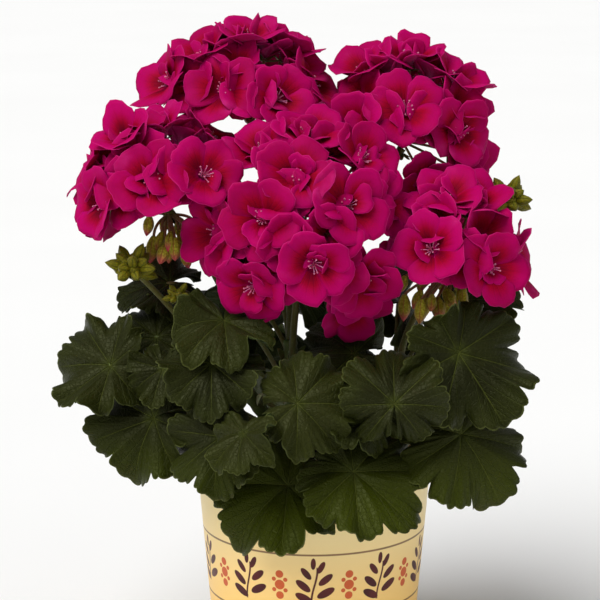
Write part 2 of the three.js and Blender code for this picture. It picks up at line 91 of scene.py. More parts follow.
def math_node(operation, order=1):
    """A method that puts a wire and another value in a Math node, in order -1 the wire last."""

    def method(self, *others):
        return self.node("Math", {"operation": operation}, dict(enumerate([self, *others][::order])))

    return method


class Wire:
    """One output in a finish. Sums on it add Math nodes, and node adds any other one."""

    def __init__(self, socket):
        self.socket = socket

    def node(self, kind, settings=None, sockets=None, output=0):
        tree = self.socket.id_data
        made = tree.nodes.new("ShaderNode" + kind)
        for name, value in (settings or {}).items():
            setattr(made, name, value)
        for key, value in (sockets or {}).items():
            if isinstance(value, Wire):
                tree.links.new(value.socket, made.inputs[key])
            else:
                made.inputs[key].default_value = value
        return Wire(made.outputs[output])

    __add__ = __radd__ = math_node("ADD")
    __mul__ = __rmul__ = math_node("MULTIPLY")
    __sub__, __rsub__ = math_node("SUBTRACT"), math_node("SUBTRACT", -1)
    __truediv__, __rtruediv__ = math_node("DIVIDE"), math_node("DIVIDE", -1)
    __abs__ = math_node("ABSOLUTE")
    sine, fraction = math_node("SINE"), math_node("FRACT")
    most, angle = math_node("MAXIMUM"), math_node("ARCTAN2")

    def part(self, index):
        """One of the three numbers of a vector."""
        return self.node("SeparateXYZ", {}, {0: self}, output=index)

    def fade(self, low, high):
        """0 up to low, 1 from high and smooth between. high may be the lower one."""
        return self.node("MapRange", {"interpolation_type": "SMOOTHSTEP"}, {0: self, 1: low, 2: high})

    def blend(self, one, other):
        """The first colour where this is 0, the second where it is 1."""
        return self.node("Mix", {"data_type": "RGBA"}, {0: self, 6: one, 7: other}, output=2)

    def coated(self, *coats):
        """This colour with others laid over it in turn, each given after its share."""
        colour = self
        for share, coat in coats:
            colour = share.blend(colour, coat)
        return colour

    def noise(self, scale, detail=2, stretch=(1, 1, 1)):
        """A soft random value from 0 to 1 at this place."""
        place = self.node("VectorMath", {"operation": "MULTIPLY"}, {0: self, 1: stretch})
        return place.node("TexNoise", {}, {"Vector": place, "Scale": scale, "Detail": detail})

    def into(self, shader, socket):
        self.socket.id_data.links.new(self.socket, shader.inputs[socket])


def new_finish(name, **fixed):
    """A material with these values, its shader, and a wire with the place in metres."""
    material = bpy.data.materials.new(name)
    material.use_nodes = True
    shader = material.node_tree.nodes["Principled BSDF"]
    for socket, value in fixed.items():
        shader.inputs[socket.replace("_", " ")].default_value = value
    place = Wire(material.node_tree.nodes.new("ShaderNodeTexCoord").outputs["Object"])
    return material, shader, place


def raise_surface(height, shader, depth):
    """Relief of this depth in metres, from a height of 0 to 1."""
    height.node("Bump", {}, {"Distance": depth, "Height": height}).into(shader, "Normal")


def new_object(name, data):
    made = bpy.data.objects.new(name, data)
    bpy.context.collection.objects.link(made)
    return made


def new_mesh(name, points, faces):
    mesh = bpy.data.meshes.new(name)
    mesh.from_pydata(points, [], faces)
    return mesh


def new_piece(name, points, faces, finish, node, slot, smooth=True):
    mesh = new_mesh(name, points, faces)
    mesh.polygons.foreach_set("use_smooth", [smooth] * len(mesh.polygons))
    mesh.materials.append(finish)
    piece = new_object(name, mesh)
    if node:
        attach(piece, "root")
        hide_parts(node)
    return piece


def bands(rings, sides):
    """The faces between rings of points that follow each other."""
    faces = []
    for ring in range(rings - 1):
        for k in range(sides):
            a, b = ring * sides + k, ring * sides + (k + 1) % sides
            faces.append((a, b, b + sides, a + sides))
    return faces


def lathe(profile, sides):
    """Points and faces of a profile of radius and height, turned about the upright axis."""
    (_, low), *middle, (_, high) = profile
    turns = [tau * k / sides for k in range(sides)]
    points = [(r * cos(t), r * sin(t), z) for r, z in middle for t in turns]
    faces = bands(len(middle), sides)
    last = (len(middle) - 1) * sides
    foot, top = len(points), len(points) + 1
    points += [(0, 0, low), (0, 0, high)]
    for k in range(sides):
        faces.append((foot, (k + 1) % sides, k))
        faces.append((top, last + k, last + (k + 1) % sides))
    return points, faces


def rounded(corner, before, after, radius):
    """A corner of a profile turned into a small round."""
    corner, before, after = map(Vector, (corner, before, after))
    start = corner + (before - corner).normalized() * radius
    end = corner + (after - corner).normalized() * radius
    return [tuple(start.lerp(corner, s).lerp(corner.lerp(end, s), s)) for s in np.linspace(0, 1, 4)]


def pot_radius(z):
    return RIM_RADIUS - LIP_DEPTH - POT_TAPER * (POT_HEIGHT - LIP_HEIGHT - z)


def pot_profile():
    lip_foot = POT_HEIGHT - LIP_HEIGHT
    inner = RIM_RADIUS - LIP_DEPTH - POT_WALL
    corners = [
        (0, 0),
        (pot_radius(0), 0),
        (pot_radius(lip_foot), lip_foot),
        (RIM_RADIUS, lip_foot),
        (RIM_RADIUS, POT_HEIGHT),
        (inner, POT_HEIGHT),
        (pot_radius(lip_foot) - POT_WALL, lip_foot - 2 * MM),
        (pot_radius(POT_FLOOR) - POT_WALL, POT_FLOOR),
        (0, POT_FLOOR),
    ]
    profile = [corners[0]]
    for before, corner, after in zip(corners, corners[1:], corners[2:]):
        profile += rounded(corner, before, after, POT_EDGE)
    return [*profile, corners[-1]]


def pot_finish():
    finish, shader, place = new_finish(
        "pot_print", Roughness=0.42, Specular_IOR_Level=0.28, Coat_Weight=0.04, Coat_Roughness=0.3
    )
    x, y, z = (place.part(i) for i in range(3))
    height = z / MM
    cream, straw, amber = rgb(252, 230, 170), rgb(252, 206, 118), rgb(240, 172, 72)
    base = height.fade(34, 104).blend(straw, cream)
    base = height.fade(4, 44).blend(amber, base)
    # The frieze: a sprig in each repeat, a stem with its leaves, and berries, between two thin lines.
    repeat = x.angle(y * -1) / tau * FRIEZE_REPEATS + 0.5
    pitch = tau * FRIEZE_RADIUS / FRIEZE_REPEATS
    u = (repeat.fraction() - 0.5) * pitch
    v = height - FRIEZE_HEIGHT
    sprig = abs(u - 1.6 * (v / 6).sine()).fade(0.75, 0.35) * abs(v).fade(11, 10)
    for rise, reach, tilt, length in SPRIG_LEAVES:
        out, up = u - reach, v - rise
        along = out * cos(tilt) - up * sin(tilt)
        across = out * sin(tilt) + up * cos(tilt)
        leaf = along * along / length ** 2 + across * across / (0.42 * length) ** 2
        sprig = sprig.most(leaf.fade(1.12, 0.92))
    lines = abs(abs(v) - FRIEZE_LINE).fade(0.7, 0.35)
    ink = place.noise(90).fade(0.35, 0.65).blend(rgb(66, 8, 14), rgb(88, 20, 18))
    colour = sprig.most(lines * 0.8).blend(base, ink)
    aside = pitch / 2 - abs(u)
    berries = aside * 0
    for rise, reach, radius in BERRIES:
        off, up = aside - reach, v - rise
        berries = berries.most((off * off + up * up).fade(radius ** 2 * 1.1, radius ** 2 * 0.85))
    berries.blend(colour, rgb(206, 92, 44)).into(shader, "Base Color")
    grain = place.noise(2500)
    (0.38 + grain * 0.1).into(shader, "Roughness")
    raise_surface(grain, shader, 0.05 * MM)
    return finish


def drill(piece, holes, radius, low, high):
    """Cuts upright round holes at these places."""
    for x, y in holes:
        points, faces = lathe([(0, low), (radius, low), (radius, high), (0, high)], 24)
        points = [(px + x, py + y, pz) for px, py, pz in points]
        cutter = new_object("drill", new_mesh("drill", points, faces))
        cut = piece.modifiers.new("drill", "BOOLEAN")
        cut.operation, cut.object = "DIFFERENCE", cutter
        with bpy.context.temp_override(object=piece, active_object=piece):
            bpy.ops.object.modifier_apply(modifier=cut.name)
        bpy.data.objects.remove(cutter)


points, faces = lathe(pot_profile(), POT_SIDES)
pot = new_piece("pot_shell", points, faces, pot_finish(), "pot", "pot")
drain_turns = [(k + 0.5) / DRAINS * tau for k in range(DRAINS)]
drains = [(DRAIN_RING * cos(t), DRAIN_RING * sin(t)) for t in drain_turns]
drill(pot, drains, DRAIN_RADIUS, -1 * MM, POT_FLOOR + 1 * MM)

# The soil. Moist dark peat, tipped into the pot and pressed lightly, so that it heaps up a little round the
# shoots. Loose crumbs of bark lie on it.

SOIL_TOP = 104 * MM
SOIL_MOUND = 5 * MM
SOIL_GAP = 0.5 * MM
SOIL_RINGS = 26
SOIL_SIDES = 72
CRUMBS = 420
CRUMB_CORNERS = [(1, 0, 0), (-1, 0, 0), (0, 1, 0), (0, -1, 0), (0, 0, 1), (0, 0, -1)]
CRUMB_FACES = [(0, 2, 4), (2, 1, 4), (1, 3, 4), (3, 0, 4), (2, 0, 5), (1, 2, 5), (3, 1, 5), (0, 3, 5)]


def soil_height(x, y):
    share = hypot(x, y) / RIM_RADIUS
    lumps = 0.9 * sin(310 * x + 1) * cos(270 * y) + 0.6 * sin(500 * y + 200 * x)
    fine = 0.5 * sin(1900 * x + 3 * sin(900 * y)) * cos(1700 * y + 2)
    return SOIL_TOP + SOIL_MOUND * (1 - share ** 2) + (lumps + fine) * MM


def soil_shapes():
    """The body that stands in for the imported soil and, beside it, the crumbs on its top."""
    edge = pot_radius(SOIL_TOP) - POT_WALL - SOIL_GAP
    low = POT_FLOOR + SOIL_GAP
    profile = [(0, low), (pot_radius(low) - POT_WALL - SOIL_GAP, low)]
    profile += [(edge * ring / SOIL_RINGS, SOIL_TOP) for ring in range(SOIL_RINGS, 0, -1)]
    points, faces = lathe([*profile, (0, SOIL_TOP)], SOIL_SIDES)
    points = [(x, y, soil_height(x, y)) if z > low else (x, y, z) for x, y, z in points]
    draw = Random(11)
    crumb_points, crumb_faces = [], []
    for _ in range(CRUMBS):
        turn, reach = draw.uniform(0, tau), edge * sqrt(draw.random()) * 0.97
        x, y = reach * cos(turn), reach * sin(turn)
        size = draw.uniform(0.7, 2.1) * MM
        spin = Matrix.Rotation(draw.uniform(0, 6), 3, "X") @ Matrix.Rotation(draw.uniform(0, 6), 3, "Z")
        first = len(crumb_points)
        for axis in CRUMB_CORNERS:
            corner = spin @ Vector(axis) * size * draw.uniform(0.6, 1.2)
            crumb_points.append(corner + Vector((x, y, soil_height(x, y) + 0.3 * size)))
        crumb_faces += [tuple(first + corner for corner in face) for face in CRUMB_FACES]
    return (points, faces), (crumb_points, crumb_faces)


def soil_finish(name, dark, light):
    finish, shader, place = new_finish(name, Roughness=0.95)
    grit = place.noise(700, 4)
    grit.fade(0.35, 0.7).blend(dark, light).into(shader, "Base Color")
    raise_surface(grit, shader, 1.2 * MM)
    return finish


body, crumbs = soil_shapes()
peat = soil_finish("peat", rgb(20, 14, 10), rgb(52, 38, 28))
new_piece("soil_body", *body, peat, "soil", "soil")
bark = soil_finish("bark_crumbs", rgb(36, 25, 17), rgb(86, 66, 48))
new_piece("soil_crumbs", *crumbs, bark, "soil", "soil", smooth=False)

# The shoots. Six thick green stems, rooted in the soil, which bend outwards and thicken a little at each
# joint where a leaf stalk leaves them. They grow softly hairy and turn brown and woody near the soil.

SHOOT_RADIUS = 4.2 * MM
SHOOT_DEPTH = 26 * MM
SHOOT_STEPS = 48
SHOOT_HAIRS = 260
HAIR_LENGTH = 0.9 * MM
JOINTS = [0.42, 0.53, 0.63, 0.72, 0.8, 0.87, 0.93, 0.98]  # as shares of a shoot's length
SHOOTS = {  # the foot in the soil and the tip
    "left": [(-17, 1), (-40, -10, 168)],
    "front_left": [(-9, -15), (-12, -32, 162)],
    "front_right": [(9, -15), (20, -34, 160)],
    "right": [(17, 1), (46, -12, 166)],
    "back_right": [(9, 16), (13, 21, 176)],
    "back_left": [(-9, 16), (-13, 21, 176)],
}


def upward(length):
    return Vector((0, 0, length))


def bent(controls, steps):
    """Points at even shares of the curve that the controls pull."""
    path = []
    for i in range(steps + 1):
        line = [Vector(point) for point in controls]
        while len(line) > 1:
            line = [a.lerp(b, i / steps) for a, b in zip(line, line[1:])]
        path += line
    return path


def shoot_path(name):
    """Evenly spaced points up a shoot: straight out of the soil, then in one bend to its tip."""
    (x, y), tip = SHOOTS[name]
    low = Vector((x * MM, y * MM, SOIL_TOP - SHOOT_DEPTH))
    rise = Vector((x * MM, y * MM, POT_HEIGHT - 4 * MM))
    tip = Vector(tip) * MM
    controls = [rise, rise + upward(22 * MM), tip - upward(18 * MM), tip]
    fine = [low, *bent(controls, 80)]
    lengths = np.concatenate([[0], np.cumsum([(b - a).length for a, b in zip(fine, fine[1:])])])
    evenly = np.linspace(0, lengths[-1], SHOOT_STEPS + 1)
    return [Vector([np.interp(s, lengths, [p[k] for p in fine]) for k in range(3)]) for s in evenly]


def on_shoot(name, share):
    """The point at a share of the way up a shoot."""
    path = shoot_path(name)
    at = share * (len(path) - 1)
    return path[int(at)].lerp(path[int(at) + 1], at % 1)


class Growth:
    """Surfaces that grow together in one piece. Each point carries marks for the finish: how far it lies
    across and along, 1 on an underside, and a tone that is the same all over one leaf or petal."""

    def __init__(self):
        self.points, self.faces, self.marks, self.tones = [], [], [], []

    def add(self, points, faces, marks, tone=0.5):
        first = len(self.points)
        self.points += [tuple(point) for point in points]
        self.faces += [tuple(first + corner for corner in face) for face in faces]
        self.marks += [tuple(mark) for mark in marks]
        self.tones += [tone] * len(points)

    def piece(self, kind, name, finish, node, slot):
        piece = new_piece(f"{kind}_{name}", self.points, self.faces, finish, f"{node}_{name}", slot)
        marks = piece.data.attributes.new("marks", "FLOAT_VECTOR", "POINT")
        marks.data.foreach_set("vector", np.array(self.marks, dtype=np.float32).ravel())
        tones = piece.data.attributes.new("tone", "FLOAT", "POINT")
        tones.data.foreach_set("value", np.array(self.tones, dtype=np.float32))


def marks_of(place):
    """The wires across, along, underside and tone of a grown piece."""
    marks = place.node("Attribute", {"attribute_name": "marks"}, output=1)
    tone = place.node("Attribute", {"attribute_name": "tone"}, output=2)
    return marks.part(0), marks.part(1), marks.part(2), tone


def stem(path, radii, sides, ridges=0, depth=0.0):
    """Points, faces and marks of a round stem along a path, ridged if asked."""
    points, marks = [], []
    side = (path[1] - path[0]).orthogonal().normalized()
    last = len(path) - 1
    for i, (middle, radius) in enumerate(zip(path, radii)):
        ahead = (path[min(i + 1, last)] - path[max(i - 1, 0)]).normalized()
        side = (side - ahead * side.dot(ahead)).normalized()
        other = ahead.cross(side)
        for k in range(sides):
            turn = tau * k / sides
            reach = radius * (1 + depth * cos(ridges * turn))
            points.append(middle + (side * cos(turn) + other * sin(turn)) * reach)
            marks.append((k / sides, i / last, 0))
    ends = [tuple(reversed(range(sides))), tuple(range(last * sides, (last + 1) * sides))]
    return points, ends + bands(len(path), sides), marks


def stem_finish(name, young, old, blush):
    """Green skin with fine streaks and pale hairs. young is the colour at its far end."""
    finish, shader, place = new_finish(
        name, Roughness=0.5, Specular_IOR_Level=0.25, Sheen_Weight=0.12, Sheen_Roughness=0.4,
        Subsurface_Weight=0.12, Subsurface_Scale=1 * MM,
    )
    _, along, hair, tone = marks_of(place)
    streaks = place.noise(1400, 3, (1, 1, 0.12))
    along.fade(0.05, 0.6).blend(old, young).coated(
        (streaks.fade(0.4, 0.75) * 0.35, rgb(112, 122, 62)),
        (place.noise(60).fade(0.5, 0.75) * tone, blush),
        (hair * 0.7, rgb(160, 164, 126)),
    ).into(shader, "Base Color")
    raise_surface(streaks, shader, 0.25 * MM)
    return finish


def hairs(path, radii, count, draw):
    """Short three-sided hairs that stand out all over a stem."""
    points, faces = [], []
    for _ in range(count):
        at = draw.uniform(0, len(path) - 1.001)
        low, high = path[int(at)], path[int(at) + 1]
        ahead = (high - low).normalized()
        out = ahead.orthogonal().normalized()
        out.rotate(Matrix.Rotation(draw.uniform(0, tau), 3, ahead))
        root = low.lerp(high, at % 1) + out * radii[int(at)] * 0.93
        side, other = ahead * 0.05 * MM, ahead.cross(out) * 0.05 * MM
        first = len(points)
        points += [root + side, root - side + other, root - side - other]
        lean = out + ahead * draw.uniform(-0.3, 0.5)
        points.append(root + lean * HAIR_LENGTH * draw.uniform(0.6, 1.3))
        corners = [(0, 1, 2), (0, 3, 1), (1, 3, 2), (2, 3, 0)]
        faces += [tuple(first + corner for corner in face) for face in corners]
    return points, faces, [(0, 0.8, 1)] * len(points)


shoot_skin = stem_finish("shoot_skin", rgb(72, 84, 34), rgb(86, 70, 42), rgb(98, 66, 38))
for name in SHOOTS:
    path = shoot_path(name)
    growth = Growth()
    radii = []
    for i in range(len(path)):
        share = i / (len(path) - 1)
        knuckle = sum(exp(-(((share - joint) / 0.012) ** 2)) for joint in JOINTS)
        radii.append(SHOOT_RADIUS * (0.97 - 0.12 * share + 0.14 * knuckle))
    growth.add(*stem(path, radii, 18), tone=0.4)
    growth.add(*hairs(path, radii, SHOOT_HAIRS, Random(f"{name} shoot")))
    growth.piece("shoot_stem", name, shoot_skin, "leafy_shoot", "leaf")

# The leaves. Round blades with shallow lobes and blunt teeth, folded a little like a fan along the veins
# that spread from the stalk, on thin round stalks. They are dark, downy and paler underneath.

LEAF_HALF = 161  # degrees
LEAF_SWEEP = 160, 187  # degrees that a blade turns each way, least and most
LEAF_LOBES = 7
LEAF_GRID = 12, 217  # rows from the hub to the edge, columns round it
LEAF_THICKNESS = 0.4 * MM
# Waves round the edge: how many, how deep, and how late they set in on the way out.
LEAF_WAVES = [(3, 0.06, 2), (5, 0.08, 2.5), (8, 0.09, 4), (13, 0.05, 6), (21, 0.012, 8)]
SIDE_VEINS = [(0.26, 0.3), (0.5, 0.17), (0.72, 0.1)]  # where each starts on a main vein, and its spread
SCALE_THICKNESS = 0.3 * MM
LOBE_WIDTH = 2 * LEAF_HALF / LEAF_LOBES
FRONT_LEAVES = {  # the hub, the radius, where the upper side faces and where the middle lobe points
    "left": [
        ((-107, -43, 177), 35, (-0.3, -0.75, 0.6), (-1, 0, 0.25)),
        ((-84, -53, 151), 37, (-0.3, -0.85, 0.4), (-1, 0, -0.35)),
        ((-79, -54, 178), 22, (-0.2, -0.85, 0.5), (-0.2, -0.3, -0.9)),
        ((-84, -16, 186), 27, (-0.2, -0.75, 0.6), (-0.9, -0.2, 0.1)),
        ((-78, 2, 212), 30, (-0.1, -0.55, 0.8), (-0.9, -0.1, 0.1)),
    ],
    "front_left": [
        ((-53, -68, 184), 31, (-0.05, -0.75, 0.65), (0, -0.6, -0.75)),
        ((-47, -56, 204), 33, (0, -0.5, 0.87), (0.1, -0.7, -0.5)),
        ((-36, -98, 155), 24, (-0.5, -0.5, 0.7), (-0.3, -0.8, -0.5)),
        ((-48, -79, 148), 33, (-0.25, -0.85, 0.45), (-0.8, -0.2, -0.5)),
        ((-14, -68, 119), 42, (-0.15, -0.75, 0.65), (-0.75, -0.3, -0.6)),
    ],
    "front_right": [
        ((-9, -88, 168), 33, (0.1, -0.85, 0.5), (1, -0.1, 0.1)),
        ((20, -78, 129), 42, (0.15, -0.75, 0.65), (0.75, -0.3, -0.6)),
        ((40, -93, 169), 33, (0, -0.9, 0.45), (0, 0.2, 1)),
        ((24, -71, 166), 30, (0.1, -0.85, 0.5), (0.3, -0.5, -0.8)),
        ((21, -41, 183), 31, (0.05, -0.75, 0.65), (-0.9, -0.2, 0.1)),
    ],
    "right": [
        ((74, -65, 189), 44, (0.3, -0.85, 0.4), (0.5, -0.2, -0.85)),
        ((76, -66, 146), 42, (0.35, -0.85, 0.4), (0.6, -0.2, -0.8)),
        ((82, 14, 200), 33, (0.1, -0.5, 0.85), (0.95, 0.1, 0)),
    ],
}
ROUND_LEAVES = [  # first turn, step, count, reach, height, radius, droop and roll
    (6, 28, 7, 76, 148, 42, 58, 22),
    (26, 30, 5, 50, 200, 38, 40, 28),
]


def round_leaves():
    """The leaves round the sides and back: a low ring that hangs and a high one further in."""
    for first, step, count, reach, height, radius, droop, roll in ROUND_LEAVES:
        for i in range(count):
            turn = radians(first + step * i)
            sway = 3 * sin(5 * turn)
            out = Vector((cos(turn), sin(turn), 0))
            hub = out * (reach + sway) + upward(height - sway)
            fall = radians(droop + 2 * sway)
            along = out * cos(fall) - upward(sin(fall))
            normal = out * sin(fall) + upward(cos(fall))
            normal.rotate(Matrix.Rotation(radians(roll), 3, along))
            shoot = max(SHOOTS, key=lambda name: Vector(SHOOTS[name][0]).dot(out.xy))
            yield shoot, hub, radius + sway / 2, normal, along


def leaf_rim(turn, draw):
    """How far the edge lies from the hub, as a share of the radius, at an angle in degrees."""
    across = np.abs(np.cos(np.pi * turn / LOBE_WIDTH))
    lobes = 0.87 + 0.13 * across ** 0.6
    clefts = draw.uniform(0.03, 0.12) * np.exp(-((across / 0.2) ** 2))
    teeth = 0.05 * (1 - np.abs(np.cos(5 * np.pi * turn / LOBE_WIDTH)) ** 0.7)
    uneven = 0.035 * np.sin(np.radians(4.3 * turn) + draw.uniform(0, 6))
    return (lobes - clefts - teeth + uneven) * (1 - 0.42 * (turn / LEAF_HALF) ** 2)


def leaf_height(share, turn, wave, draw):
    """How high the blade lies over the hub, as a share of the radius."""
    angle = np.radians(turn)
    cup, fold = draw.uniform(0.17, 0.43), draw.uniform(-0.24, 0.24)
    height = 0.18 * share - cup * share ** 2 + 0.13 * share ** 2 * np.sin(3 * angle + wave)
    height += fold * share ** 2 * np.cos(2 * angle + draw.uniform(0, 6))
    height += 0.11 * share * (np.abs(np.sin(np.pi * turn / LOBE_WIDTH)) ** 1.1 - 0.5)
    height += 0.03 * share ** 2 * np.abs(np.sin(3 * np.pi * turn / LOBE_WIDTH))
    for waves, depth, onset in LEAF_WAVES:
        swell = depth * draw.uniform(0.6, 1.7) * share ** onset
        height += swell * np.sin(waves * angle + draw.uniform(0, 6))
    return height + 0.05 * share * (turn / LEAF_SWEEP[1]) ** 5


def blade(surface, marks, thickness):
    """Points, faces and marks of a thin closed blade, on a grid of points with their marks."""
    rows, columns = surface.shape[:2]
    normal = np.cross(np.gradient(surface, axis=0), np.gradient(surface, axis=1))
    normal /= np.maximum(np.linalg.norm(normal, axis=2, keepdims=True), 1e-12)
    count = rows * columns
    points = np.concatenate([surface.reshape(-1, 3), (surface - thickness * normal).reshape(-1, 3)])
    both = [np.insert(marks.reshape(-1, 2), 2, under, axis=1) for under in (0, 1)]
    at = np.arange(count).reshape(rows, columns)
    faces = []
    for i in range(rows - 1):
        for j in range(columns - 1):
            a, b, c, d = at[i, j], at[i + 1, j], at[i + 1, j + 1], at[i, j + 1]
            faces += [(a, b, c, d), (a + count, d + count, c + count, b + count)]
    edge = [*at[0, ::-1], *at[1:, 0], *at[-1, 1:], *at[-2:0:-1, -1]]
    for a, b in zip(edge, edge[1:] + edge[:1]):
        faces.append((b, a, a + count, b + count))
    return points, faces, np.concatenate(both)


def stacked(*layers):
    """The numbers at each point of a grid. A layer may be only a row or column of it."""
    return np.stack(np.broadcast_arrays(*layers), axis=2)


def shares(rows, columns):
    """Shares along, from 0 to 1, and across, from -1 to 1, on the grid of a small blade."""
    return np.linspace(0, 1, rows)[:, None], np.linspace(-1, 1, columns)[None, :]


def small_blade(share, across, *surface):
    return blade(stacked(*surface), stacked(across * 0.2, share), SCALE_THICKNESS)


def stand(points, place, along, normal):
    """Moves points to a place, their x and z axes along these two directions."""
    z = Vector(normal).normalized()
    x = (Vector(along) - z * z.dot(Vector(along))).normalized()
    y = z.cross(x)
    return points @ np.array([x, y, z]) + np.array(place)


def leaf_blade(radius, wave, draw):
    rows, columns = LEAF_GRID
    share = np.linspace(0.002, 1, rows)[:, None] ** 0.85
    sweep = draw.uniform(*LEAF_SWEEP) if radius < 40 * MM else LEAF_SWEEP[1]
    turn = np.linspace(-sweep, sweep, columns)[None, :]
    reach = radius * share * (1 + (leaf_rim(turn, draw) - 1) * share ** 0.4)
    angle = np.radians(turn)
    height = radius * leaf_height(share, turn, wave, draw)
    surface = stacked(reach * np.cos(angle), reach * np.sin(angle), height)
    return blade(surface, stacked(turn / LOBE_WIDTH, share), LEAF_THICKNESS)


def leaf_finish():
    finish, shader, place = new_finish(
        "leaf_skin", Specular_IOR_Level=0.2, Specular_Tint=rgb(232, 238, 180), Sheen_Weight=0.01,
        Sheen_Roughness=0.4, Sheen_Tint=rgb(214, 226, 190),
    )
    across, along, under, tone = marks_of(place)
    off = abs((across + 0.5).fraction() - 0.5)
    main = (off * along).fade(0.014, 0.005) * along.fade(1.05, 0.5)
    side = main * 0
    for start, spread in SIDE_VEINS:
        path = spread * (1 - start / along) / (1 - start)
        side = side.most((abs(off - path) * along).fade(0.01, 0.003) * along.fade(start, start + 0.04))
    net = place.node(
        "TexVoronoi", {"feature": "DISTANCE_TO_EDGE"}, {"Vector": place, "Scale": 420}
    ).fade(0.12, 0.02)
    patches = place.noise(38, 3)
    green = patches.fade(0.36, 0.68).blend(rgb(8, 9, 1), rgb(24, 26, 4)).coated(
        (tone * 0.8, rgb(44, 47, 12)),
        # Painted light: leaves lower than about 152 mm, most of all below 104 mm, turn a brighter yellow
        # green, standing in for light shining through them.
        ((place.part(2) / MM).fade(152, 104), rgb(50, 58, 0)),
        (along.fade(0.45, 1) * 0.35, rgb(42, 48, 6)),
        (along.fade(0.22, 0.03), rgb(44, 50, 12)),
        (main * 0.55, rgb(82, 88, 34)),
        (side * 0.35, rgb(58, 64, 24)),
        (net * 0.14, rgb(46, 52, 18)),
        (along.fade(0.974, 0.992) * patches.fade(0.3, 0.6) * 0.7, rgb(92, 98, 48)),
    )
    pale = (main.most(side) * 0.5).blend(rgb(50, 60, 28), rgb(84, 92, 50))
    under.blend(green, pale).into(shader, "Base Color")
    (0.32 + patches * 0.2).into(shader, "Roughness")
    down = place.noise(2600)
    raise_surface(down * 0.25 - main * 0.9 - side * 0.55 - net * 0.35 + patches, shader, 0.6 * MM)
    return finish


def leaf_start(shoot, height):
    """Where on its shoot the stalk of a leaf at this height begins."""
    low, high = POT_HEIGHT, (SHOOTS[shoot][1][2] + 36) * MM
    share = min(max((height - low) / (high - low), 0.06), 0.86)
    return on_shoot(shoot, 0.3 + 0.7 * share)


def leaf_stalk(start, hub, normal, along):
    over = start.lerp(hub, 0.6)
    over.z = max(start.z, hub.z) + 6 * MM
    end = hub + along.normalized() * 1.6 * MM - normal.normalized() * 1.5 * MM
    path = bent([start, over, end], 18)
    radii = [(1.25 + 0.7 * exp(-i / 1.6) + 0.25 * exp((i - 18) / 1.2)) * MM for i in range(19)]
    return stem(path, radii, 8)


def stipules(start, over, draw):
    """Two small pointed scales where a leaf stalk leaves its shoot."""
    for hand in (-1, 1):
        ahead = (over - start).normalized()
        side = ahead.cross(upward(1)).normalized() * hand
        facing = (side + upward(0.8)).normalized()
        share, across = shares(6, 5)
        long = 7 * MM * draw.uniform(0.8, 1.2)
        side_to_side = 2.6 * MM * (1 - share) ** 0.7 * across
        points, faces, marks = small_blade(share, across, long * share, side_to_side, 1.2 * MM * share ** 2)
        place = start + side * SHOOT_RADIUS * 0.8
        yield stand(points, place, facing + ahead * 0.4, side.cross(facing) * hand), faces, marks


leaf_skin = leaf_finish()
stalk_skin = stem_finish("leaf_stalk_skin", rgb(76, 88, 34), rgb(88, 80, 36), rgb(104, 70, 40))
leaves = [(shoot, Vector(hub), *rest) for shoot, rows in FRONT_LEAVES.items() for hub, *rest in rows]
leaves += list(round_leaves())
for name in SHOOTS:
    blades, stalks = Growth(), Growth()
    for i, (_, hub, radius, normal, along) in enumerate(leaf for leaf in leaves if leaf[0] == name):
        draw = Random(f"{name} leaf {i}")
        normal, along = Vector(normal), Vector(along)
        hub = hub * MM
        points, faces, marks = leaf_blade(radius * MM, 1.7 * i + radius, draw)
        blades.add(stand(points, hub, along, normal), faces, marks, draw.random() ** 2)
        start = leaf_start(name, hub.z)
        stalks.add(*leaf_stalk(start, hub, normal, along), tone=draw.random())
        for scale in stipules(start, start.lerp(hub, 0.6) + upward(6 * MM), draw):
            stalks.add(*scale, tone=draw.random())
    blades.piece("leaf_blades", name, leaf_skin, "leafy_shoot", "leaf")
    stalks.piece("leaf_stalks", name, stalk_skin, "leafy_shoot", "leaf")

# The flower stalks. Stout round stalks, one from the tip of a shoot to each open head, olive green and
# downy, with a ring of small pointed scales under the place where the stems of the flowers spread.

STALK_RADIUS = 1.9 * MM
STALK_GAP = 0.35 * MM
STALK_HAIRS = 220
KNOB_DROP = 5.6 * MM  # from the middle of a head down to its stalk's top
HEADS = {  # the middle of each head and the shoot that bears it
    "left": ((-77, -15, 258), "left"),
    "top_left": ((-35, 30, 297), "back_left"),
    "top_right": ((48, 30, 285), "back_right"),
    "front": ((-5, -32, 245), "front_left"),
    "right": ((73, -20, 228), "right"),
}


def scales(centre, count, length, lift, tilt, draw):
    """A ring of small pointed scales that stand out from under a knob."""
    for k in range(count):
        turn = tau * (k + draw.uniform(-0.2, 0.2)) / count
        out = Vector((cos(turn), sin(turn), 0))
        share, across = shares(7, 5)
        wide = 0.3 * length * (1 - share) ** 0.6 * (0.4 + share) ** 0.4
        hollow = 0.2 * length * (across ** 2 - 1) * wide / length
        points, faces, marks = small_blade(share, across, length * share, wide * across, hollow)
        along = out * cos(tilt) + upward(sin(tilt))
        normal = upward(cos(tilt)) - out * sin(tilt)
        yield stand(points, centre + out * 1.2 * MM + upward(lift), along, normal), faces, marks


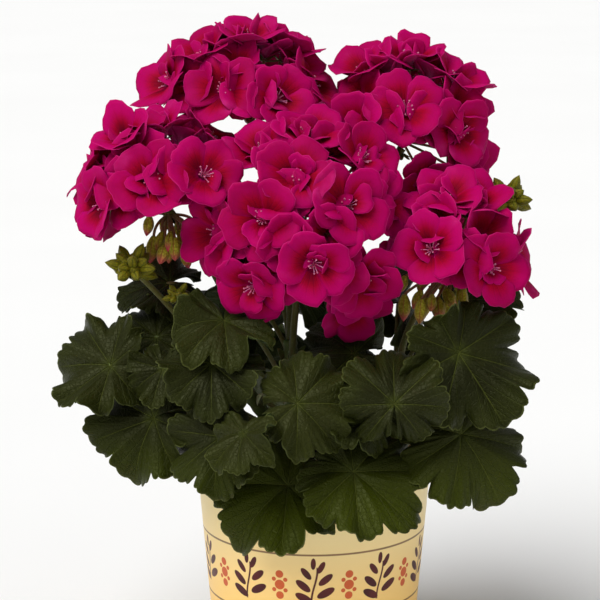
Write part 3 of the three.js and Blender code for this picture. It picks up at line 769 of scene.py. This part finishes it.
head_stalk_skin = stem_finish("flower_stalk_skin", rgb(84, 80, 30), rgb(70, 70, 26), rgb(92, 66, 34))
for name, (middle, shoot) in HEADS.items():
    growth = Growth()
    top = Vector(middle) * MM - upward(KNOB_DROP)
    start = Vector(SHOOTS[shoot][1]) * MM + upward(STALK_GAP)
    over = start + upward(0.5 * (top.z - start.z))
    path = bent([start, over, top + upward(2 * MM)], 30)
    swells = [0.97 + 0.3 * exp(-i / 2) + 0.35 * exp((i - 30) / 1.5) for i in range(31)]
    radii = [STALK_RADIUS * swell for swell in swells]
    growth.add(*stem(path, radii, 14))
    growth.add(*hairs(path, radii, STALK_HAIRS, Random(f"{name} hairs")))
    for scale in scales(top, 7, 6 * MM, -1 * MM, -0.5, Random(f"{name} scales")):
        growth.add(*scale, tone=0.8)
    growth.piece("head_stalk", name, head_stalk_skin, "flower_stalk", "stalk")

# The nodding buds. Flowers of the left and right heads that have yet to open hang below the open ones on
# thin stems, each wrapped in five pointed sepals, olive with rosy edges, with the petals just showing.

GOLDEN_TURN = pi * (3 - sqrt(5))
NODDING = {  # how many, how far the bunch leans, and the least and the added reach of the stems
    "left": (8, (3, -9), (5, 9)),
    "right": (8, (-9, -9), (6, 13)),
}
NODDING_SWELLS = [(0, 0.35), (0.12, 0.62), (0.3, 0.93), (0.5, 1), (0.7, 0.84), (0.88, 0.45), (1, 0.06)]


def bud(foot, tip, radius, swells):
    """A bud with a ridge for each sepal. swells gives its radius at shares of its length."""
    shares = np.linspace(0, 1, 16)
    radii = radius * np.interp(shares, *zip(*swells))
    return stem([foot.lerp(tip, share) for share in shares], radii, 15, ridges=5, depth=0.1)


def bud_finish(name, skin, glow, edge, tip):
    finish, shader, place = new_finish(
        name, Roughness=0.5, Specular_IOR_Level=0.25, Specular_Tint=rgb(236, 236, 160), Sheen_Weight=0.04,
        Sheen_Roughness=0.4, Subsurface_Weight=0.15, Subsurface_Scale=1.5 * MM,
    )
    across, along, _, tone = marks_of(place)
    seam = abs((across * 5 + 0.5).fraction() - 0.5).fade(0.38, 0.5)
    streaks = place.noise(900, 3)
    streaks.fade(0.35, 0.7).blend(skin, glow).coated(
        (seam * 0.6, edge),
        (along.fade(0.5, 0.95) * (0.3 + 0.7 * tone), tip),
    ).into(shader, "Base Color")
    raise_surface(streaks - seam, shader, 0.4 * MM)
    return finish


nodding_skin = bud_finish(
    "nodding_bud_skin", rgb(140, 128, 28), rgb(186, 176, 60), rgb(176, 84, 66), rgb(206, 24, 92)
)
rosy_stem = stem_finish("flower_stem_skin", rgb(132, 82, 56), rgb(112, 98, 50), rgb(150, 66, 58))
for name, (count, lean, spread) in NODDING.items():
    top = Vector(HEADS[name][0]) * MM - upward(KNOB_DROP)
    buds, stems = Growth(), Growth()
    draw = Random(f"{name} nodding buds")
    for i in range(2 * count):
        # Between the full buds hang younger ones on shorter stems.
        step, grown = i % count + 0.5 * (i >= count), 1 if i < count else 0.56
        turn = step * GOLDEN_TURN
        out = Vector((cos(turn), sin(turn), 0))
        reach = (spread[0] + spread[1] * sqrt((step + 0.5) / count)) * MM
        fall = (18 + 13 * ((step * 0.618) % 1)) * grown * MM
        lean_by = Vector((*lean, 0)) * MM
        tip = top + out * 1.1 * reach + lean_by - upward(fall)
        ahead = (out * draw.uniform(0, 0.7) - upward(1)).normalized()
        foot = tip - ahead * draw.uniform(12, 15) * (0.5 + 0.5 * grown) * MM
        over = top.lerp(foot, 0.5) + out * 0.3 * reach + upward(2 * MM)
        path = bent([top, over, foot], 16)
        stems.add(*stem(path, [0.8 * MM] * len(path), 7), tone=0.9)
        fat = draw.uniform(3.1, 3.7) * (0.5 + 0.5 * grown) * MM
        buds.add(*bud(foot, tip, fat, NODDING_SWELLS), tone=draw.random())
    buds.piece("nodding_buds", name, nodding_skin, "flower_stalk", "bud")
    stems.piece("nodding_stems", name, rosy_stem, "flower_stalk", "stalk")

# The heads in bud. Young heads on shorter stalks beside the shoots' tips: tight stars of green pointed
# buds, each still shut in its downy sepals, over a ring of small scales.

BUD_HEADS = {  # the middle, the shoot, the share of the shoot's length, the count and length of the buds
    "left": ((-95, -40, 228), "left", 0.9, 9, 15),
    "small": ((-71, -40, 213), "left", 0.96, 6, 9),
    "right": ((104, 3, 257), "right", 0.9, 9, 15),
}
BUD_SLIMNESS = 0.19  # a bud's radius as a share of its length
BUD_SWELLS = [(0, 0.3), (0.2, 0.55), (0.45, 0.95), (0.65, 1), (0.82, 0.7), (0.93, 0.3), (1, 0.03)]

green_bud_skin = bud_finish(
    "green_bud_skin", rgb(84, 80, 6), rgb(116, 110, 16), rgb(52, 54, 6), rgb(110, 104, 26)
)
for name, (middle, shoot, share, count, length) in BUD_HEADS.items():
    centre = Vector(middle) * MM
    axis = on_shoot(shoot, share)
    out = (centre - axis) * Vector((1, 1, 0))
    out.normalize()
    start = axis + out * SHOOT_RADIUS
    low = start + out * 4.5 * MM
    high = start.lerp(centre, 0.5) + upward(6 * MM)
    path = bent([start, low, high, centre], 26)
    radii = [STALK_RADIUS * (0.78 + 0.3 * exp(-i / 2)) for i in range(len(path))]
    stalk = Growth()
    stalk.add(*stem(path, radii, 12), tone=0.1)
    draw = Random(f"{name} bud head")
    for scale in scales(centre, 8, 0.45 * length * MM, -1.5 * MM, -0.35, draw):
        stalk.add(*scale, tone=0.2)
    stalk.piece("bud_stalk", name, head_stalk_skin, "bud_head", "bud")
    buds = Growth()
    for i in range(3 * count):
        # Beside each full bud stand two younger ones, a third of a step on each time.
        step, grown = i % count + i // count / 3, 1 - 0.19 * (i // count)
        rise = 1 - (1.45 * (step + 0.5)) / count
        level = sqrt(max(0, 1 - rise * rise))
        turn = step * GOLDEN_TURN
        facing = Vector((level * cos(turn), level * sin(turn), rise))
        tip = centre + facing * grown * length * MM
        buds.add(*bud(centre, tip, BUD_SLIMNESS * length * MM, BUD_SWELLS), tone=draw.random() * 0.4)
    buds.piece("green_buds", name, green_bud_skin, "bud_head", "bud")

# The petals. Five broad petals to a flower, narrow at the foot and round at the end, velvety magenta with
# a crimson flush and a dark throat, and smaller ones inside them. Each is ruffled in its own way.

PETAL_LENGTH = 23 * MM
PETAL_WIDTH = 21.5 * MM
PETAL_TURNS = [-18, 54, 126, 198, 270]
PETAL_THICKNESS = 0.35 * MM
PETAL_GRID = 11, 19  # rows and columns
CROWDED_GRID = 8, 13
INNER_GRID = 9, 15
CROWDED_SIZE = 0.86
THROAT = 2 * MM
FLOWERS = {  # each flower's place from the middle of its head
    "left": [
        (-30, -20, 4), (-6, -31, 16), (19, -34, 20), (-20, -12, 34), (-6, 0, 38), (20, 10, 32),
        (-35, 6, 15), (-16, 30, 20), (16, 32, 8), (-30, 26, -4),
    ],
    "top_left": [
        (14, -30, 14), (-12, -28, 18), (-40, -6, 19), (0, -4, 43), (-23, -2, 34), (30, -6, 18),
        (19, 6, 35), (-30, 20, 18), (-6, 28, 30), (24, 30, 10),
    ],
    "top_right": [
        (-24, -29, 10), (0, -32, 20), (26, -26, 8), (-19, -3, 37), (4, 0, 44), (27, -2, 32),
        (30, -14, -14), (10, -28, -16), (-21, 28, 15), (-1, 30, 29), (28, 26, 14),
    ],
    "front": [
        (4, -44, -6), (-25, -30, -20), (27, -28, -16), (-42, -15, 4), (-20, -34, 14), (-4, -26, 33),
        (20, -32, 20), (24, -14, -33), (35, -5, 15), (-22, 2, 41), (2, 4, 50), (27, -2, 38),
    ],
    "right": [
        (-12, -31, 12), (16, -26, 2), (-4, -10, 34), (9, -6, 31), (29, 4, 0), (-1, 27, 2), (-24, 19, 3),
    ],
}
FACING = {name: (0, -0.25, 0.1) for name in FLOWERS}
FACING["front"] = (0, -0.7, 0)
INNER_PETALS = {"front": 3}  # the other heads have 1 in each outer flower


def seeded(seed):
    """Draws from 0 to 1 that come out the same each time."""
    while True:
        seed = (seed * 16807) % 2147483647
        yield seed / 2147483647


def crowd(name):
    """Places for the flowers that crowd between the outer ones, a little deeper in the head."""
    places = []
    for one, other in combinations(map(Vector, FLOWERS[name]), 2):
        middle = (one + other) * 0.47
        if (one - other).length < 38 and all((middle - place).length > 15 for place in places):
            places.append(middle)
    return places


def flowers(name):
    """Where each flower of a head stands, how it is turned, its size and how far it is open."""
    draw = seeded(len(name) * 101 + 7)
    for offset in [*FLOWERS[name], *crowd(name)]:
        reach = Vector(offset)
        facing = (reach.normalized() + Vector(FACING[name])).normalized()
        # Flowers on top of a head stand on shorter stems and are cupped more.
        on_top = max(0, facing.z - 0.55)
        reach = reach - facing * 7 * on_top
        side = Vector((0, 0.01, 1)).cross(facing)
        side.rotate(Matrix.Rotation(-0.25 + 0.5 * next(draw), 3, facing))
        size = 0.96 + 0.1 * next(draw)
        lift = 0.75 + 0.25 * next(draw)
        curl = 0.65 + 0.2 * next(draw) - 0.9 * on_top
        yield (Vector(HEADS[name][0]) + reach) * MM, facing, side, size, lift, curl


def petal(length, width, lift, curl, hollow, ruffle, draw, rows, columns):
    """A petal on a grid that fans out from its foot. It points along x and its inner side faces z."""
    share = np.linspace(0.05, 1, rows)[:, None]
    fan = np.linspace(-1, 1, columns)[None, :]
    swing = fan * np.pi / 2 * 0.985
    bites = 1 + 0.035 * np.sin(7 * swing + draw.uniform(0, 6))
    bites += 0.02 * np.sin(15 * swing + draw.uniform(0, 6))
    out = share * np.cos(swing) ** 1.35 * bites
    side = width * share ** 1.25 * np.sin(swing) * np.cos(swing) * bites
    tilt = lift - curl * out
    reach = length * (sin(lift) - np.sin(tilt)) / curl
    height = length * (np.cos(tilt) - cos(lift)) / curl
    height -= hollow * side ** 2 / MM
    crest = np.maximum(out, 0)
    height += ruffle * crest ** 2 * np.sin(2.6 * fan + draw.uniform(0, 6))
    height += 0.6 * ruffle * crest ** 3 * np.sin(6.5 * fan + draw.uniform(0, 6))
    height -= 0.5 * MM * np.exp(-((side / (1.2 * MM)) ** 2)) * share
    return blade(stacked(reach, side, height), stacked(fan, share), PETAL_THICKNESS)


def turned(points, turn, foot, twist):
    """Twists a petal about its length, then swings it round its flower, off the middle by its foot."""
    twisting = np.array(Matrix.Rotation(twist, 3, "X"))
    swinging = np.array(Matrix.Rotation(turn, 3, "Z"))
    return (points @ twisting.T + np.array([foot, 0, foot / 2])) @ swinging.T


def petal_finish():
    finish, shader, place = new_finish(
        "petal_velvet", Specular_IOR_Level=0.04, Subsurface_Weight=0.2, Subsurface_Scale=2 * MM,
        Subsurface_Radius=(1, 0.15, 0.4),
    )
    across, along, under, tone = marks_of(place)
    wide = abs(across)
    cloud = place.noise(70, 3)
    flush = wide.fade(0.8, 0.3) * along.fade(0.12, 0.34) * along.fade(0.86, 0.5)
    heart = wide.fade(0.55, 0.1) * along.fade(0.1, 0.28) * along.fade(0.66, 0.34)
    veins = (across * 34 + cloud * 3).sine().fade(0.55, 1) * along.fade(0.98, 0.3)
    # Painted sheen: noisy patches of paler pink over the outer part of each petal.
    painted_sheen = place.noise(48, 3).fade(0.58, 0.78) * along.fade(0.45, 0.95)
    colour = tone.blend(rgb(148, 0, 68), rgb(174, 0, 92)).coated(
        (cloud.fade(0.4, 0.7) * 0.5, rgb(174, 2, 92)),
        (flush * 0.9, rgb(152, 0, 26)),
        (heart * (0.4 + 0.45 * tone), rgb(84, 0, 22)),
        (along.fade(0.2, 0.06) * 0.8, rgb(84, 0, 50)),
        (veins * 0.22, rgb(118, 0, 52)),
        # Painted highlight: a paler pink laid along the outermost edge of each petal.
        (along.fade(0.975, 1) * 0.35, rgb(212, 52, 130)),
        # Painted sheen in patches over the outer part of the petal.
        (painted_sheen * 0.5, rgb(196, 44, 122)),
    )
    pale = along.fade(0.05, 0.7).blend(rgb(206, 92, 152), rgb(178, 20, 102))
    pale = (veins * 0.3).blend(pale, rgb(160, 0, 84))
    under.blend(colour, pale).into(shader, "Base Color")
    cells = place.noise(3200)
    (0.52 + cells * 0.22).into(shader, "Roughness")
    raise_surface(cells * 0.35 - veins * 0.5 + cloud, shader, 0.3 * MM)
    return finish


velvet = petal_finish()
for name, outer in FLOWERS.items():
    petals = Growth()
    for i, (place, facing, side, size, lift, curl) in enumerate(flowers(name)):
        draw = Random(f"{name} flower {i}")
        tone = draw.random()
        crowded = i >= len(outer)
        grown = size * (CROWDED_SIZE if crowded else 1)
        for k, turn in enumerate(PETAL_TURNS):
            points, faces, marks = petal(
                PETAL_LENGTH * grown * draw.uniform(0.95, 1.02),
                PETAL_WIDTH * grown * (0.92 if k in (1, 2) else 1) * draw.uniform(0.97, 1.07),
                lift + draw.uniform(-0.15, 0.15) + 0.15 * crowded,
                max(0.1, curl + draw.uniform(-0.15, 0.25)),
                draw.uniform(-0.015, 0.022),
                draw.uniform(1.4, 3.2) * MM,
                draw,
                *(CROWDED_GRID if crowded else PETAL_GRID),
            )
            swing = radians(turn + draw.uniform(-6, 6))
            points = turned(points, swing, 0.4 * THROAT, draw.uniform(-0.18, 0.18))
            petals.add(stand(points, place, side, facing), faces, marks, 0.7 * tone + 0.3 * draw.random())
        for k in range(0 if crowded else INNER_PETALS.get(name, 1)):
            points, faces, marks = petal(
                PETAL_LENGTH * grown * draw.uniform(0.5, 0.78),
                PETAL_WIDTH * grown * draw.uniform(0.5, 0.8),
                lift + draw.uniform(0.25, 0.5),
                max(0.1, curl + draw.uniform(-0.2, 0.4)),
                draw.uniform(-0.05, 0.06),
                draw.uniform(1.2, 2.6) * MM,
                draw,
                *INNER_GRID,
            )
            swing = radians(draw.uniform(0, 360))
            points = turned(points, swing, 0.3 * THROAT, draw.uniform(-0.5, 0.5))
            petals.add(stand(points, place, side, facing), faces, marks, draw.random())
    petals.piece("petals", name, velvet, "flower_head", "petal")

# The flowers' stems and sepals. Each flower stands on a thin rosy stem of its own, which joins the others
# in a small knob, and five narrow green sepals hold its petals from behind.

STEM_RADIUS = 0.75 * MM
KNOB_RADIUS = 3.2 * MM


def sepal(place, facing, side, turn, draw):
    share, across = shares(5, 3)
    long = draw.uniform(7, 9) * MM
    wide = 1.9 * MM * (1 - share) ** 0.6 * (0.5 + share) ** 0.5
    height = 0.35 * long * share - 0.5 * MM * across ** 2
    points, faces, marks = small_blade(share, across, 1.1 * MM + long * share, wide * across, height)
    points = points @ np.array(Matrix.Rotation(turn, 3, "Z")).T - np.array([0, 0, 1.6 * MM])
    return stand(points, place, side, facing), faces, marks


sepal_skin = stem_finish("sepal_skin", rgb(104, 112, 46), rgb(92, 104, 40), rgb(140, 78, 66))
for name in FLOWERS:
    stems, sepals = Growth(), Growth()
    centre = Vector(HEADS[name][0]) * MM
    ball = [centre + upward(KNOB_RADIUS * (s / 6 - 1)) for s in range(13)]
    stems.add(*stem(ball, [KNOB_RADIUS * sin(pi * (s + 0.15) / 12.3) for s in range(13)], 14))
    for i, (place, facing, side, *_) in enumerate(flowers(name)):
        draw = Random(f"{name} stem {i}")
        over = centre.lerp(place, 0.5) + upward(1.5 * MM)
        foot = place - facing * 1.2 * MM
        path = bent([centre, over, foot - facing * 4 * MM, foot], 14)
        radii = [STEM_RADIUS * (1 + 0.9 * exp((s - 14) / 1.3)) for s in range(15)]
        stems.add(*stem(path, radii, 7), tone=draw.uniform(0.5, 1))
        for turn in PETAL_TURNS:
            sepals.add(*sepal(place, facing, side, radians(turn + 36), draw), tone=draw.random())
    stems.piece("flower_stems", name, rosy_stem, "flower_head", "petal")
    sepals.piece("sepals", name, sepal_skin, "flower_head", "petal")

# The stamens and styles. A tuft of pale curved threads stands in the throat of each flower, tipped with
# small anthers, round a darker style that splits in five.

STAMENS = 9
THREAD_RADIUS = 0.34 * MM
ANTHER_RADII = [r * MM for r in (0.1, 0.4, 0.55, 0.4, 0.1)]
STYLE_TIPS = 5


def thread_finish(name, colour, far):
    finish, shader, place = new_finish(name, Roughness=0.45, Subsurface_Weight=0.2, Subsurface_Scale=1 * MM)
    _, along, _, tone = marks_of(place)
    shade = along.fade(0.1, 0.9).blend(colour, far)
    (tone * place.noise(500)).blend(shade, rgb(232, 156, 192)).into(shader, "Base Color")
    return finish


thread_skin = thread_finish("stamen_threads", rgb(184, 50, 118), rgb(222, 120, 176))
anther_skin = thread_finish("anthers", rgb(160, 44, 90), rgb(190, 84, 120))
style_skin = thread_finish("styles", rgb(120, 6, 54), rgb(160, 14, 74))
for name in FLOWERS:
    threads, anthers, styles = Growth(), Growth(), Growth()
    for i, (place, facing, side, *_) in zip(range(len(FLOWERS[name])), flowers(name)):
        draw = Random(f"{name} stamens {i}")
        side = (side - facing * side.dot(facing)).normalized()
        for k in range(STAMENS):
            turn = tau * (k + draw.uniform(-0.3, 0.3)) / STAMENS
            out = side * cos(turn) + facing.cross(side) * sin(turn)
            rise = draw.uniform(5.5, 8.5) * MM
            spread = draw.uniform(1.8, 4.4) * MM
            path = [
                place + facing * rise * s / 8 + out * (0.5 * MM + spread * (s / 8) ** 2) for s in range(9)
            ]
            radii = [THREAD_RADIUS * (1 - 0.05 * s) for s in range(9)]
            threads.add(*stem(path, radii, 5), tone=draw.random())
            tip = [path[-1] + (out * 0.5 + facing) * 0.55 * MM * s for s in (-1, -0.5, 0, 0.5, 1)]
            anthers.add(*stem(tip, ANTHER_RADII, 6), tone=draw.random())
        for k in range(STYLE_TIPS):
            turn = tau * (k + 0.5) / STYLE_TIPS
            out = side * cos(turn) + facing.cross(side) * sin(turn)
            path = [
                place + facing * (5 + 2.4 * s / 6) * MM + out * 2 * MM * (s / 6) ** 1.6 for s in range(7)
            ]
            styles.add(*stem(path, [THREAD_RADIUS - 0.03 * MM * s for s in range(7)], 5), tone=0.2)
        column = [place + facing * 5.4 * MM * s / 4 for s in range(5)]
        styles.add(*stem(column, [0.5 * MM] * 5, 6), tone=0.1)
    threads.piece("stamens", name, thread_skin, "flower_head", "petal")
    anthers.piece("anthers", name, anther_skin, "flower_head", "petal")
    styles.piece("styles", name, style_skin, "flower_head", "petal")

# The studio. A wide pale floor, one broad soft light from above the front left, a weaker one from the
# right, and even light all round. The camera stands in front, a little above the plant.

FLOOR_HALF = 9
VIEW_CENTRE = Vector((-7.6, 0, 203)) * MM
VIEW_DISTANCE = 1.3
VIEW_ELEVATION = radians(12)
VIEW_LENS, SENSOR_WIDTH = 144.4, 36
AIR_LIGHT = 0.26
LIGHTS = [  # name, strength, softness, azimuth and elevation
    ("key_light", 3.1, 50, -47, 54),
    ("fill_light", 0.35, 70, 55, 30),
]

floor_finish, floor_shader, floor_place = new_finish("floor_paper", Roughness=0.9)
floor_place.noise(3).fade(0.2, 0.8).blend(rgb(243, 243, 242), rgb(245, 245, 244)).into(
    floor_shader, "Base Color"
)
corners = [(x * FLOOR_HALF, y * FLOOR_HALF, -0.2 * MM) for x, y in [(-1, -1), (1, -1), (1, 1), (-1, 1)]]
new_piece("floor", corners, [(0, 1, 2, 3)], floor_finish, None, None, smooth=False)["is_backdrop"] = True

scene = bpy.context.scene
world = bpy.data.worlds.new("studio_air")
world.use_nodes = True
air = world.node_tree.nodes["Background"].inputs
air["Color"].default_value = (1, 1, 1, 1)
air["Strength"].default_value = AIR_LIGHT
scene.world = world
for name, strength, softness, azimuth, elevation in LIGHTS:
    light = bpy.data.lights.new(name, "SUN")
    light.energy, light.angle = strength, radians(softness)
    lamp = new_object(name, light)
    lamp.rotation_euler = (radians(90 - elevation), 0, radians(azimuth))

camera = new_object("camera", bpy.data.cameras.new("camera"))
camera.data.lens, camera.data.sensor_width = VIEW_LENS, SENSOR_WIDTH
back = Vector((0, -cos(VIEW_ELEVATION), sin(VIEW_ELEVATION)))
camera.location = VIEW_CENTRE + back * VIEW_DISTANCE
camera.rotation_euler = (-back).to_track_quat("-Z", "Y").to_euler()
camera.data.clip_end = 60
scene.camera = camera
scene.view_settings.view_transform = "Standard"

low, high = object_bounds()
